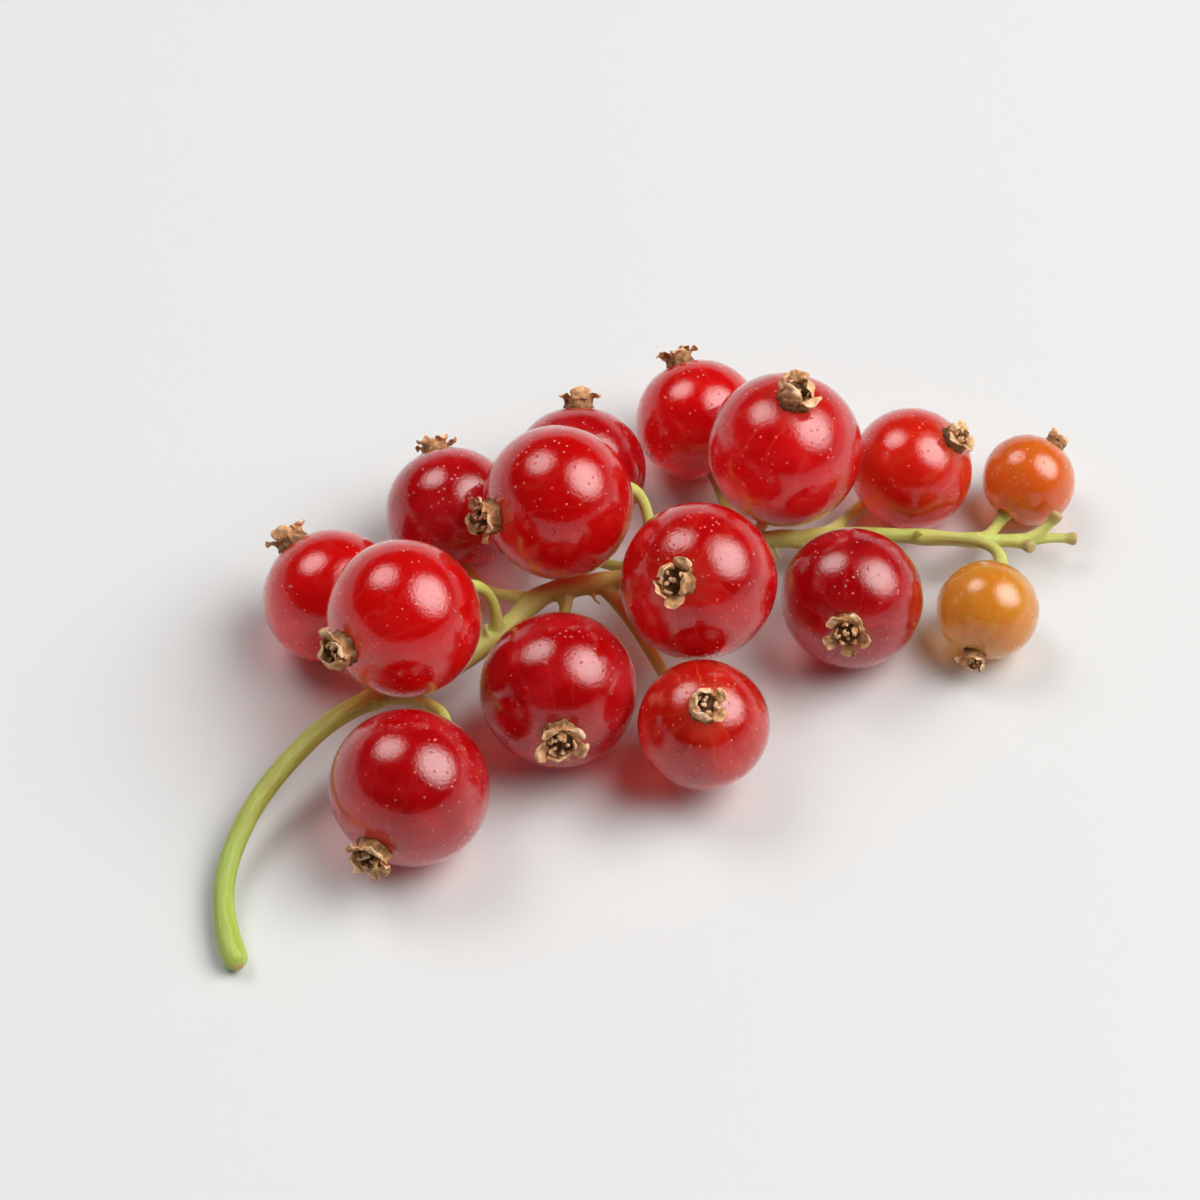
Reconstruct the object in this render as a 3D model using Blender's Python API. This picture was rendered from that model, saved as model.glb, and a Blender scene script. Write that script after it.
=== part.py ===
"""A strig of redcurrants, as picked, lying on a level surface.

One green stalk carries fifteen berries on short pedicels, and each berry ends in the dried
remains of its flower. Lengths in the tables are millimetres and are turned into metres where
a mesh is made. +X runs along the strig from the cut end of the stalk to its tip, +Z is up.
"""
import math
from collections import namedtuple

import bmesh
import bpy
import numpy as np
from mathutils import Matrix, Vector

MM = 0.001

# Berry: a sphere a little shorter than it is wide, dimpled where the pedicel enters
SHORTNESS = 0.97
DIMPLE_DEPTH = 0.25
DIMPLE_REACH = 0.30
EYE_FLAT_DEPTH = 0.10
EYE_FLAT_REACH = 0.35
PRESSED_FLAT = 0.14
BERRY_SIDES = 20
BERRY_RINGS = 11
NEAREST_BERRIES = 0.15

# Dried flower: a crumpled cup with five lobes. Its profile runs up the outer wall, over the
# rim and down inside: radius at a notch, radius at a lobe, height at a notch, height at a
# lobe, each as a share of half the flower's width
LOBES = 5
SIDES_PER_LOBE = 3
CALYX_WIDTH_SHARE = 0.36
CALYX_PROFILE = (
    (0.60, 0.62, 0.00, 0.00),
    (0.56, 0.60, 0.20, 0.22),
    (0.70, 0.98, 0.40, 0.50),
    (0.66, 0.94, 0.58, 0.78),
    (0.42, 0.54, 0.46, 0.50),
    (0.24, 0.26, 0.30, 0.30),
)
CALYX_FLOOR = 0.28
CALYX_LEAN = 0.12
CALYX_FIT = 0.12
GOLDEN_ANGLE = 137.5

# Stalk: it has a rounded heel, thins from there to its tip, and swells by a share at each pedicel
STALK_STEP = 1.3
STALK_SIDES = 10
STALK_RUN = (0.0, 0.02, 0.07, 0.45, 1.0)
STALK_RADIUS = (0.60, 0.78, 0.65, 0.64, 0.42)
NODE_SWELLING = 0.16
NODE_LENGTH = 0.9
CAP_DOME = 0.15

# Pedicels: thicker at the foot, on the stalk, and at the head, where they hold the berry.
# They leave leaning towards the stalk's tip, and run on by a share of their span
PEDICEL_SIDES = 7
PEDICEL_RINGS = 9
PEDICEL_RADIUS = 0.36
PEDICEL_FOOT = 0.20
PEDICEL_HEAD = 0.20
PEDICEL_LEAN = 0.35
PEDICEL_LEAVING = 0.35
PEDICEL_FIT = 0.12
ABOVE_SURFACE = 0.05

# The stalk's middle line, by hand: it lies down at its cut end and is held up by the berries
STALK_LINE = (
    (-25.4, 2.5, 0.83),
    (-25.0, 4.8, 0.88),
    (-23.4, 8.4, 1.25),
    (-20.4, 11.3, 2.10),
    (-16.2, 13.4, 3.05),
    (-13.0, 14.4, 3.45),
    (-9.8, 14.8, 3.30),
    (-6.4, 14.7, 3.00),
    (-3.6, 14.6, 3.40),
    (-0.4, 15.2, 3.80),
    (3.2, 16.3, 4.05),
    (6.8, 14.9, 4.60),
    (10.2, 13.8, 4.80),
    (13.8, 13.9, 4.20),
    (17.6, 14.0, 3.30),
    (20.6, 12.9, 3.00),
    (23.4, 11.5, 3.10),
    (26.2, 9.7, 3.15),
    (29.2, 7.8, 2.95),
    (32.2, 6.3, 2.60),
    (34.4, 5.6, 2.30),
)

# How a berry is held: on the surface, on its own pedicel just above it, or on other berries
ON_SURFACE = -PRESSED_FLAT
ON_PEDICEL = 0.75
ON_BERRIES = None

# x, y and width place a berry; heading and rise, in degrees, say where its dried flower
# points; station is the x at which its pedicel leaves the stalk; reach is the share of its
# span that the pedicel runs straight to the berry; colour is the berry's ripeness
Berry = namedtuple("Berry", "x y width held heading rise station reach colour")
BERRIES = (
    Berry(-11.6, 6.6, 9.9, ON_SURFACE, -145, -7, -9.6, 0.32, "dark"),
    Berry(-8.6, 22.9, 8.8, ON_SURFACE, 100, 25, -5.6, 0.40, "red"),
    Berry(-7.2, 15.1, 9.8, ON_BERRIES, -170, 8, -1.0, 0.42, "red"),
    Berry(0.0, 8.7, 9.9, ON_SURFACE, -118, 14, 4.6, 0.34, "dark"),
    Berry(1.5, 25.5, 8.6, ON_SURFACE, 75, 20, 2.4, 0.38, "dark"),
    Berry(6.3, 1.8, 8.2, ON_PEDICEL, -120, 68, 6.6, 0.24, "bright"),
    Berry(5.5, 18.4, 9.8, ON_BERRIES, 176, 11, 9.2, 0.42, "red"),
    Berry(10.4, 24.35, 8.8, ON_SURFACE, 60, 35, 11.2, 0.36, "dark"),
    Berry(10.3, 9.2, 9.9, ON_BERRIES, -146, 47, 13.0, 0.36, "red"),
    Berry(19.6, 24.5, 8.4, ON_SURFACE, 80, 30, 15.4, 0.34, "red"),
    Berry(21.0, 16.2, 10.1, ON_BERRIES, -22, 84, 17.0, 0.36, "red"),
    Berry(19.9, 6.1, 9.1, ON_SURFACE, -128, 24, 19.4, 0.36, "dark"),
    Berry(29.5, 13.8, 8.2, ON_SURFACE, -30, 48, 21.6, 0.30, "bright"),
    Berry(27.5, 1.8, 6.6, ON_SURFACE, -139, -20, 27.4, 0.40, "green"),
    Berry(36.2, 9.8, 6.2, ON_SURFACE, 20, 25, 30.4, 0.36, "orange"),
)

# Pedicels at the tip whose flowers set no fruit: station, and how far each reaches
STUB_STEP = 0.45
STUB_FLARE = 1.25
STUB_BEND = 0.5
Stub = namedtuple("Stub", "station dx dy dz")
STUBS = (
    Stub(31.6, 1.3, -1.9, 0.5),
    Stub(33.2, 2.5, -0.1, 1.3),
    Stub(34.2, 2.3, -1.0, -0.4),
)

COLOURS = {
    "dark": (0.36, 0.006, 0.014, 1.0),
    "red": (0.60, 0.012, 0.012, 1.0),
    "bright": (0.74, 0.050, 0.020, 1.0),
    "orange": (0.78, 0.20, 0.035, 1.0),
    "green": (0.62, 0.33, 0.07, 1.0),
}
CALYX_COLOUR = (0.24, 0.14, 0.06, 1.0)
STEM_COLOUR = (0.36, 0.47, 0.09, 1.0)
SKIN_ROUGHNESS = 0.12
CALYX_ROUGHNESS = 0.85
STEM_ROUGHNESS = 0.45


def clear_scene():
    for obj in list(bpy.data.objects):
        bpy.data.objects.remove(obj, do_unlink=True)


def material(name, colour, roughness):
    made = bpy.data.materials.new(name)
    made.use_nodes = True
    shader = made.node_tree.nodes["Principled BSDF"]
    shader.inputs["Base Color"].default_value = colour
    shader.inputs["Roughness"].default_value = roughness
    shader.inputs["Metallic"].default_value = 0.0
    return made


def skinned(name, rings, first_pole, last_pole):
    """A closed mesh through rings of points, each ring a row, with a fan to a pole at each end."""
    count, sides = rings.shape[:2]
    points = np.concatenate([rings.reshape(-1, 3), [first_pole], [last_pole]]) * MM
    faces = []
    for side in range(sides):
        after = (side + 1) % sides
        faces.append((after, side, count * sides))
        faces.append(((count - 1) * sides + side, (count - 1) * sides + after, count * sides + 1))
        for ring in range(count - 1):
            low, high = ring * sides, (ring + 1) * sides
            faces.append((low + side, low + after, high + after, high + side))
    mesh = bpy.data.meshes.new(name)
    mesh.from_pydata(points.tolist(), [], faces)
    shape = bmesh.new()
    shape.from_mesh(mesh)
    bmesh.ops.recalc_face_normals(shape, faces=shape.faces)
    shape.to_mesh(mesh)
    shape.free()
    mesh.shade_smooth()
    return mesh


def added(name, mesh, look):
    obj = bpy.data.objects.new(name, mesh)
    mesh.materials.append(look)
    bpy.context.scene.collection.objects.link(obj)
    return obj


def pointing(heading, rise):
    """The unit vector that points at this heading, in the surface, and rises by this angle."""
    across, up = math.radians(heading), math.radians(rise)
    return np.array([math.cos(across) * math.cos(up), math.sin(across) * math.cos(up), math.sin(up)])


def berry_places(berries):
    """Each berry's middle. One held by others comes straight down until it nearly meets one."""
    places = {}
    for number, berry in enumerate(berries):
        if berry.held is not ON_BERRIES:
            places[number] = np.array([berry.x, berry.y, berry.width / 2 * SHORTNESS + berry.held])
    for number, berry in enumerate(berries):
        if number in places:
            continue
        height = 0.0
        for other, place in places.items():
            apart = (berry.width + berries[other].width) / 2 + NEAREST_BERRIES
            level = math.hypot(place[0] - berry.x, place[1] - berry.y)
            if level < apart:
                height = max(height, place[2] + math.sqrt(apart**2 - level**2))
        places[number] = np.array([berry.x, berry.y, height])
    return [places[number] for number in range(len(berries))]


def smooth_line(points, step):
    """Points about a step apart on a cubic curve through the given ones, and its directions."""
    points = np.array(points, float)
    along = np.concatenate([[0], np.cumsum(np.linalg.norm(np.diff(points, axis=0), axis=1))])
    slopes = np.gradient(points, along, axis=0, edge_order=2)
    wanted = np.linspace(0, along[-1], int(round(along[-1] / step)) + 1)
    piece = np.clip(np.searchsorted(along, wanted, side="right") - 1, 0, len(along) - 2)
    span = (along[piece + 1] - along[piece])[:, None]
    t = (wanted - along[piece])[:, None] / span
    line = (
        (2 * t**3 - 3 * t**2 + 1) * points[piece]
        + (t**3 - 2 * t**2 + t) * span * slopes[piece]
        + (3 * t**2 - 2 * t**3) * points[piece + 1]
        + (t**3 - t**2) * span * slopes[piece + 1]
    )
    ways = np.gradient(line, axis=0)
    return line, ways / np.linalg.norm(ways, axis=1)[:, None]


def tube(name, line, ways, radii, sides):
    """Round sections along a line, kept from twisting, with a slightly domed cap at each end."""
    aside = np.cross(ways[0], (0.0, 0.0, 1.0))
    if np.linalg.norm(aside) < 0.1:
        aside = np.array([1.0, 0.0, 0.0])
    turns = np.arange(sides) * 2 * math.pi / sides
    rings = []
    for middle, way, radius in zip(line, ways, radii):
        aside = aside - way * np.dot(aside, way)
        aside = aside / np.linalg.norm(aside)
        over = np.cross(way, aside)
        rings.append(middle + radius * (np.outer(np.cos(turns), aside) + np.outer(np.sin(turns), over)))
    first = line[0] - ways[0] * radii[0] * CAP_DOME
    last = line[-1] + ways[-1] * radii[-1] * CAP_DOME
    return skinned(name, np.array(rings), first, last)


def at_station(line, ways, station):
    """The point and direction of the stalk where its x is the station's."""
    place = np.array([np.interp(station, line[:, 0], line[:, axis]) for axis in range(3)])
    way = np.array([np.interp(station, line[:, 0], ways[:, axis]) for axis in range(3)])
    return place, way / np.linalg.norm(way)


def pedicel_line(root, way, berry, middle):
    """A Bezier curve from the stalk to the dimple, which it meets along the berry's axis."""
    flower = pointing(berry.heading, berry.rise)
    head_distance = berry.width / 2 * SHORTNESS - DIMPLE_DEPTH + PEDICEL_FIT
    head = middle - flower * head_distance
    span = np.linalg.norm(head - root)
    before_head = head - flower * span * berry.reach
    leaving = before_head - root
    leaving = leaving / np.linalg.norm(leaving) + PEDICEL_LEAN * way
    after_root = root + leaving / np.linalg.norm(leaving) * span * PEDICEL_LEAVING
    t = np.linspace(0, 1, PEDICEL_RINGS)[:, None]
    line = (
        (1 - t) ** 3 * root
        + 3 * t * (1 - t) ** 2 * after_root
        + 3 * t**2 * (1 - t) * before_head
        + t**3 * head
    )
    ways = np.gradient(line, axis=0)
    return line, ways / np.linalg.norm(ways, axis=1)[:, None]


def pedicel_radii():
    """Thickest where it leaves the stalk and where it takes hold of the berry."""
    t = np.linspace(0, 1, PEDICEL_RINGS)
    return PEDICEL_RADIUS + PEDICEL_FOOT * (1 - t) ** 4 + PEDICEL_HEAD * t**6


def stalk_radii(line, stations):
    """The stalk thins from its cut end to its tip and swells a little at every pedicel."""
    radii = np.interp(np.linspace(0, 1, len(line)), STALK_RUN, STALK_RADIUS)
    for station in stations:
        radii += radii * NODE_SWELLING * np.exp(-(((line[:, 0] - station) / NODE_LENGTH) ** 2))
    return radii


def make_stem(places, look):
    """Stalk, pedicels and the bare pedicels at the tip, joined as one green body."""
    line, ways = smooth_line(STALK_LINE, STALK_STEP)
    radii = stalk_radii(line, [berry.station for berry in BERRIES])
    stem = added("strig_stem", tube("strig_stem", line, ways, radii, STALK_SIDES), look)
    side_shoots = bpy.data.collections.new("side_shoots")
    bpy.context.scene.collection.children.link(side_shoots)

    def shoot(name, mesh):
        side_shoots.objects.link(bpy.data.objects.new(name, mesh))

    for number, (berry, middle) in enumerate(zip(BERRIES, places), 1):
        root, way = at_station(line, ways, berry.station)
        route, directions = pedicel_line(root, way, berry, middle)
        radius = pedicel_radii()
        route[:, 2] = np.maximum(route[:, 2], radius + ABOVE_SURFACE)
        name = f"pedicel_{number:02d}"
        shoot(name, tube(name, route, directions, radius, PEDICEL_SIDES))
    for number, stub in enumerate(STUBS, 1):
        root, way = at_station(line, ways, stub.station)
        tip = root + np.array([stub.dx, stub.dy, stub.dz])
        bend = root + way * np.linalg.norm(tip - root) * STUB_BEND
        route, directions = smooth_line((root, (root + tip + bend) / 3, tip), STUB_STEP)
        radius = np.linspace(PEDICEL_RADIUS, PEDICEL_RADIUS * STUB_FLARE, len(route))
        name = f"stub_{number}"
        shoot(name, tube(name, route, directions, radius, PEDICEL_SIDES))

    union = stem.modifiers.new("side_shoots", "BOOLEAN")
    union.operation = "UNION"
    union.operand_type = "COLLECTION"
    union.collection = side_shoots
    union.solver = "EXACT"
    bpy.context.view_layer.update()
    joined = bpy.data.meshes.new_from_object(stem.evaluated_get(bpy.context.evaluated_depsgraph_get()))
    stem.modifiers.clear()
    stem.data = joined
    for obj in list(side_shoots.objects):
        bpy.data.objects.remove(obj, do_unlink=True)
    bpy.data.collections.remove(side_shoots)
    return stem


def turned_to(flower, middle):
    """The matrix that stands local +Z along the berry's axis and puts the origin at its middle."""
    turn = Vector((0, 0, 1)).rotation_difference(Vector(flower))
    return Matrix.Translation(Vector(middle) * MM) @ turn.to_matrix().to_4x4()


def berry_mesh(name, width):
    """A sphere by polar angle from the dimple to the eye, shortened, dimpled and flattened."""
    radius = width / 2
    polar = np.linspace(0, math.pi, BERRY_RINGS + 2)
    out = radius * np.sin(polar)
    up = -radius * SHORTNESS * np.cos(polar)
    up += DIMPLE_DEPTH * np.exp(-((polar / DIMPLE_REACH) ** 2))
    up -= EYE_FLAT_DEPTH * np.exp(-(((math.pi - polar) / EYE_FLAT_REACH) ** 2))
    turns = np.arange(BERRY_SIDES) * 2 * math.pi / BERRY_SIDES
    rings = np.stack([
        np.outer(out[1:-1], np.cos(turns)),
        np.outer(out[1:-1], np.sin(turns)),
        np.repeat(up[1:-1, None], BERRY_SIDES, axis=1),
    ], axis=2)
    return skinned(name, rings, (0, 0, up[0]), (0, 0, up[-1]))


def press_flat(obj):
    """Cuts off what would reach below the surface, which leaves the flat spot it rests on."""
    shape = bmesh.new()
    shape.from_mesh(obj.data)
    to_local = obj.matrix_basis.inverted()
    bmesh.ops.bisect_plane(
        shape,
        geom=list(shape.verts) + list(shape.edges) + list(shape.faces),
        plane_co=to_local @ Vector((0, 0, 0)),
        plane_no=to_local.to_3x3() @ Vector((0, 0, 1)),
        clear_inner=True,
    )
    rim = [edge for edge in shape.edges if edge.is_boundary]
    bmesh.ops.contextual_create(shape, geom=rim)
    bmesh.ops.recalc_face_normals(shape, faces=shape.faces)
    shape.to_mesh(obj.data)
    shape.free()


def calyx_mesh(name, width, turn):
    """A cup whose outer wall rises and flares into five lobes, and whose inner wall returns."""
    half = width * CALYX_WIDTH_SHARE / 2
    sides = LOBES * SIDES_PER_LOBE
    turns = np.arange(sides) * 2 * math.pi / sides
    lobe = 0.5 + 0.5 * np.cos(LOBES * turns)
    lean = CALYX_LEAN * np.cos(turns + turn)
    rings = []
    for notch_out, lobe_out, notch_up, lobe_up in CALYX_PROFILE:
        out = half * (notch_out + (lobe_out - notch_out) * lobe)
        up = half * (notch_up + (lobe_up - notch_up) * lobe + lean * notch_up)
        rings.append(np.stack([out * np.cos(turns + turn), out * np.sin(turns + turn), up], axis=1))
    return skinned(name, np.array(rings), (0, 0, 0), (0, 0, half * CALYX_FLOOR))


def make_berry(number, berry, middle, looks):
    flower = pointing(berry.heading, berry.rise)
    obj = added(f"berry_{number:02d}", berry_mesh(f"berry_{number:02d}", berry.width), looks[berry.colour])
    obj.matrix_basis = turned_to(flower, middle)
    if berry.held == ON_SURFACE:
        press_flat(obj)
    return obj


def make_calyx(number, berry, middle, look):
    flower = pointing(berry.heading, berry.rise)
    eye = middle + flower * (berry.width / 2 * SHORTNESS - EYE_FLAT_DEPTH + CALYX_FIT)
    turn = math.radians(GOLDEN_ANGLE * number)
    obj = added(f"calyx_{number:02d}", calyx_mesh(f"calyx_{number:02d}", berry.width, turn), look)
    obj.matrix_basis = turned_to(flower, eye)
    return obj


def centre_on_base(pieces):
    """Parents every piece to an empty that puts the middle of the base box at the origin."""
    bpy.context.view_layer.update()
    corners = np.array([
        piece.matrix_world @ vertex.co for piece in pieces for vertex in piece.data.vertices
    ])
    low, high = corners.min(axis=0), corners.max(axis=0)
    strig = bpy.data.objects.new("strig", None)
    bpy.context.scene.collection.objects.link(strig)
    for piece in pieces:
        piece.parent = strig
    strig.location = (-(low[0] + high[0]) / 2, -(low[1] + high[1]) / 2, -low[2])


def main():
    clear_scene()
    looks = {
        name: material(f"skin_{name}", colour, SKIN_ROUGHNESS) for name, colour in COLOURS.items()
    }
    calyx_look = material("dried_flower", CALYX_COLOUR, CALYX_ROUGHNESS)
    stem_look = material("green_stem", STEM_COLOUR, STEM_ROUGHNESS)
    places = berry_places(BERRIES)
    pieces = [make_stem(places, stem_look)]
    for number, (berry, middle) in enumerate(zip(BERRIES, places), 1):
        pieces.append(make_berry(number, berry, middle, looks))
        pieces.append(make_calyx(number, berry, middle, calyx_look))
    centre_on_base(pieces)


main()
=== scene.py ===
# %% [markdown]
# # A strig of redcurrants
#
# Redcurrants ripen on a strig: one thin green stalk with a row of round, see-through berries,
# each on its own short pedicel and each tipped with the dry remains of its flower. This
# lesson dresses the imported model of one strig, which lies on a level surface. The cells below
# make what a camera sees: the taut skin of the berries, the papery flowers, and the grained
# stalk.

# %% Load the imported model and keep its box
import math
from collections import namedtuple

import bpy
import numpy as np
from mathutils import Matrix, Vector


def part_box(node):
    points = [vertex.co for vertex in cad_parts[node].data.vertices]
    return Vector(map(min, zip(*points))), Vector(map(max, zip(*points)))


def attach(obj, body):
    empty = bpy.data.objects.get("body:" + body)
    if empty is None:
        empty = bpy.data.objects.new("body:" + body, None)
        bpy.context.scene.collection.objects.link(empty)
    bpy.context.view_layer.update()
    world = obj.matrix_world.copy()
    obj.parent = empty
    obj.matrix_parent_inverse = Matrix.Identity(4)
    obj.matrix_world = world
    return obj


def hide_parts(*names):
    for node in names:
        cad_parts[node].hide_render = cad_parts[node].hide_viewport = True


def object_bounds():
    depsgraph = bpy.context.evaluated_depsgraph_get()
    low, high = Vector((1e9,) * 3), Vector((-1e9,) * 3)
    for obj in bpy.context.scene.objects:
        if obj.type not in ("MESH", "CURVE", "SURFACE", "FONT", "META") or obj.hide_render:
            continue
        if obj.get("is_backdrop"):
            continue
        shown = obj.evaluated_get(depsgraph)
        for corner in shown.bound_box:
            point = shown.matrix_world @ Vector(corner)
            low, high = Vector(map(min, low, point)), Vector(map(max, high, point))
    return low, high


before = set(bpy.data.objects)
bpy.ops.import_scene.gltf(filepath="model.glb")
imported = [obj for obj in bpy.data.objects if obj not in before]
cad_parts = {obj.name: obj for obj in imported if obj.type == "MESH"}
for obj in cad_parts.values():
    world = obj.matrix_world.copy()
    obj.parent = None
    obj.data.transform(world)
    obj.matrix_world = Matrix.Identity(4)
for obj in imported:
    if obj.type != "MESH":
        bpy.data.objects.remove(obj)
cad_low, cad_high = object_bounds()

MM = 0.001
CIRCLE = 2 * math.pi
cad_size = [round(side / MM, 1) for side in cad_high - cad_low]
print("packed nodes:", len(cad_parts), "box mm:", cad_size)

# %% [markdown]
# ## The plan of the strig
#
# The strig was laid out from what the plant does: a stalk line, and for each berry
# where it lies, how wide it is, where its flower points, and where its pedicel leaves the
# stalk. Lengths are in millimetres, and `PLAN_ZERO` says where the plan's zero lies in the
# model's frame. The stalk line runs from the cut end to the tip.

# %% The stalk line
PLAN_ZERO = np.array([-7.066, -14.348, 0.0])
STALK_LINE = (
    (-25.4, 2.5, 0.83), (-25.0, 4.8, 0.88), (-23.4, 8.4, 1.25),
    (-20.4, 11.3, 2.10), (-16.2, 13.4, 3.05), (-13.0, 14.4, 3.45),
    (-9.8, 14.8, 3.30), (-6.4, 14.7, 3.00), (-3.6, 14.6, 3.40),
    (-0.4, 15.2, 3.80), (3.2, 16.3, 4.05), (6.8, 14.9, 4.60),
    (10.2, 13.8, 4.80), (13.8, 13.9, 4.20), (17.6, 14.0, 3.30),
    (20.6, 12.9, 3.00), (23.4, 11.5, 3.10), (26.2, 9.7, 3.15),
    (29.2, 7.8, 2.95), (32.2, 6.3, 2.60), (34.4, 5.6, 2.30),
)
print("points on the stalk line:", len(STALK_LINE))

# %% [markdown]
# A berry is held in one of three ways. Most lie on the surface, pressed a little flat by
# their own weight. One is held up by its pedicel, and four rest on the berries below them.
# `heading` and `rise` say where the flower points, in degrees. `station` is the x at which
# the pedicel leaves the stalk, and `reach` is how far its curve runs straight on behind the
# berry. `colour` names the skin, and `tone` goes from 0 for a deep one to 1 for a light one.

# %% The berries
SHORTNESS = 0.97
PRESSED_FLAT = 0.14
NEAREST_BERRIES = 0.15
ON_SURFACE, ON_PEDICEL, ON_BERRIES = -PRESSED_FLAT, 0.75, None

Berry = namedtuple("Berry", "x y width held heading rise station reach colour tone")
BERRIES = (
    Berry(-11.6, 6.6, 9.9, ON_SURFACE, -145, -7, -9.6, 0.32, "dark", 0.45),
    Berry(-8.6, 22.9, 8.8, ON_SURFACE, 100, 25, -5.6, 0.40, "red", 0.55),
    Berry(-7.2, 15.1, 9.8, ON_BERRIES, -170, 8, -1.0, 0.42, "red", 0.75),
    Berry(0.0, 8.7, 9.9, ON_SURFACE, -118, 14, 4.6, 0.34, "dark", 0.60),
    Berry(1.5, 25.5, 8.6, ON_SURFACE, 75, 20, 2.4, 0.38, "dark", 0.45),
    Berry(6.3, 1.8, 8.2, ON_PEDICEL, -120, 68, 6.6, 0.24, "bright", 0.12),
    Berry(5.5, 18.4, 9.8, ON_BERRIES, 176, 11, 9.2, 0.42, "red", 0.85),
    Berry(10.4, 24.35, 8.8, ON_SURFACE, 60, 35, 11.2, 0.36, "dark", 0.35),
    Berry(10.3, 9.2, 9.9, ON_BERRIES, -146, 47, 13.0, 0.36, "red", 0.20),
    Berry(19.6, 24.5, 8.4, ON_SURFACE, 80, 30, 15.4, 0.34, "red", 0.50),
    Berry(21.0, 16.2, 10.1, ON_BERRIES, -22, 84, 17.0, 0.36, "red", 0.22),
    Berry(19.9, 6.1, 9.1, ON_SURFACE, -128, 24, 19.4, 0.36, "dark", 0.15),
    Berry(29.5, 13.8, 8.2, ON_SURFACE, -30, 48, 21.6, 0.30, "bright", 0.50),
    Berry(27.5, 1.8, 6.6, ON_SURFACE, -139, -20, 27.4, 0.40, "green", 0.50),
    Berry(36.2, 9.8, 6.2, ON_SURFACE, 20, 25, 30.4, 0.36, "orange", 0.50),
)
print("berries in the plan:", len(BERRIES))

# %% [markdown]
# A berry that rests on others comes straight down until it nearly meets one of them. The
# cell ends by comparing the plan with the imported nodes, so that a slip shows at once.

# %% Where each berry lies


def pointing(heading, rise):
    """The unit vector with this heading in the surface, in degrees, that rises by this angle."""
    across, up = math.radians(heading), math.radians(rise)
    level = math.cos(up)
    return np.array([math.cos(across) * level, math.sin(across) * level, math.sin(up)])


def berry_middles():
    """Each berry's middle. One held by others meets the first of them at the height
    h = their height + sqrt(apart^2 - level^2), where level is the distance seen from above."""
    middles = {}
    for berry in BERRIES:
        if berry.held is not ON_BERRIES:
            height = berry.width / 2 * SHORTNESS + berry.held
            middles[berry] = np.array([berry.x, berry.y, height])
    for berry in BERRIES:
        if berry.held is ON_BERRIES:
            height = 0.0
            for other, middle in middles.items():
                apart = (berry.width + other.width) / 2 + NEAREST_BERRIES
                level = math.hypot(middle[0] - berry.x, middle[1] - berry.y)
                if level < apart:
                    height = max(height, middle[2] + math.sqrt(apart**2 - level**2))
            middles[berry] = np.array([berry.x, berry.y, height])
    return [middles[berry] for berry in BERRIES]


MIDDLES = berry_middles()
slips = []
for number, middle in enumerate(MIDDLES, 1):
    low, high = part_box(f"berry_{number:02d}")
    packed = (np.array(low) + np.array(high))[:2] / 2 / MM
    slips.append(np.abs(packed - (middle + PLAN_ZERO)[:2]).max())
print("largest slip of a berry from its node, mm:", round(max(slips), 3))

# %% [markdown]
# ## Turning grids of points into closed meshes
#
# Every piece here is a closed skin. Its points form a grid: rings along the piece, each with
# the same number of points. Faces join each ring to the next, and a fan of triangles closes
# the first and last ring on a pole. numpy numbers all of those faces at once, and several
# skins of one piece are stacked.

# %% Grids of points


def round_turns(sides):
    """The angles of this many points spread evenly round a circle."""
    return np.arange(sides) * CIRCLE / sides


def closed_skin(rings, first_pole, last_pole):
    """Points and faces of one closed skin. Face (r, s) joins points s and s + 1 of rings r and
    r + 1, and each end is a fan. Returns points, quads, triangles."""
    count, sides = rings.shape[:2]
    ring, side = np.meshgrid(np.arange(count - 1), np.arange(sides), indexing="ij")
    after = (side + 1) % sides
    near, beside = ring * sides + side, ring * sides + after
    quads = np.stack([near, beside, beside + sides, near + sides], axis=-1).reshape(-1, 4)
    side = np.arange(sides)
    after = (side + 1) % sides
    last_ring = (count - 1) * sides
    first, last = count * sides, count * sides + 1
    fans = np.concatenate([
        np.stack([after, side, np.full(sides, first)], axis=1),
        np.stack([last_ring + side, last_ring + after, np.full(sides, last)], axis=1),
    ])
    points = np.concatenate([rings.reshape(-1, 3), [first_pole], [last_pole]])
    return points, quads, fans


def stacked(skins):
    """Several skins as one: the points end to end, and each skin's faces shifted by its start."""
    points, quads, fans = zip(*skins)
    starts = np.cumsum([0] + [len(each) for each in points[:-1]])
    quads, fans = (
        np.concatenate([corners + start for corners, start in zip(faces, starts)])
        for faces in (quads, fans))
    return np.concatenate(points), quads, fans


print("turns of a ring of four:", round_turns(4))

# %% [markdown]
# A mesh is filled fastest from flat arrays: the points, the corner numbers of all faces end
# to end, and where each face starts. Numbers that a material reads are kept on the points as
# named attributes.

# %% Arrays into meshes


def in_scene(name, data):
    """A new object in the scene that shows this mesh, light or camera."""
    made = bpy.data.objects.new(name, data)
    bpy.context.scene.collection.objects.link(made)
    return made


def keep_values(mesh, values):
    """Stores named numbers or vectors, one for each point."""
    for label, numbers in values.items():
        numbers = np.asarray(numbers, np.float32)
        kind, field = ("FLOAT", "value") if numbers.ndim == 1 else ("FLOAT_VECTOR", "vector")
        mesh.attributes.new(label, kind, "POINT").data.foreach_set(field, numbers.ravel())


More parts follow.
